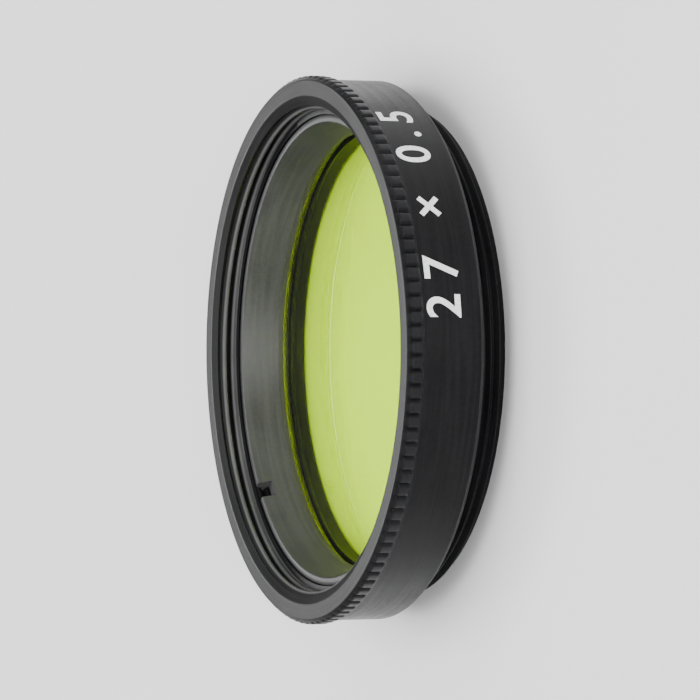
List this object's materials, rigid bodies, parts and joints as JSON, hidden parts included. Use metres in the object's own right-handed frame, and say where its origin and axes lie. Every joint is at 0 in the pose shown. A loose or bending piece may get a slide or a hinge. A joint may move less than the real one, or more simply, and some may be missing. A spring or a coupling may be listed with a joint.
{
  "type": "optical filter",
  "caption": "Round yellow-green glass filter in a black knurled ring, with a retaining ring in front and a fine screw thread behind.",
  "frame": {"origin": "centre of the male thread's end face, which the part rests on", "axes": "+Z is the optical axis, towards the knurled front rim; a knurl tooth and a spanner slot lie on the X axis"},
  "size_m": [0.03, 0.03, 0.0063],
  "materials": {
    "black_anodised": "satin black anodised, finely turned",
    "filter_glass": "polished and coated, yellow-green in transmission",
    "white_ink": "white pad-printed ink, for the size mark on the smooth band, a thin print that only the visual model has"
  },
  "bodies": {
    "root": {"mount_ring": "black_anodised", "retaining_ring": "black_anodised", "filter_glass": "filter_glass"}
  },
  "joints": []
}
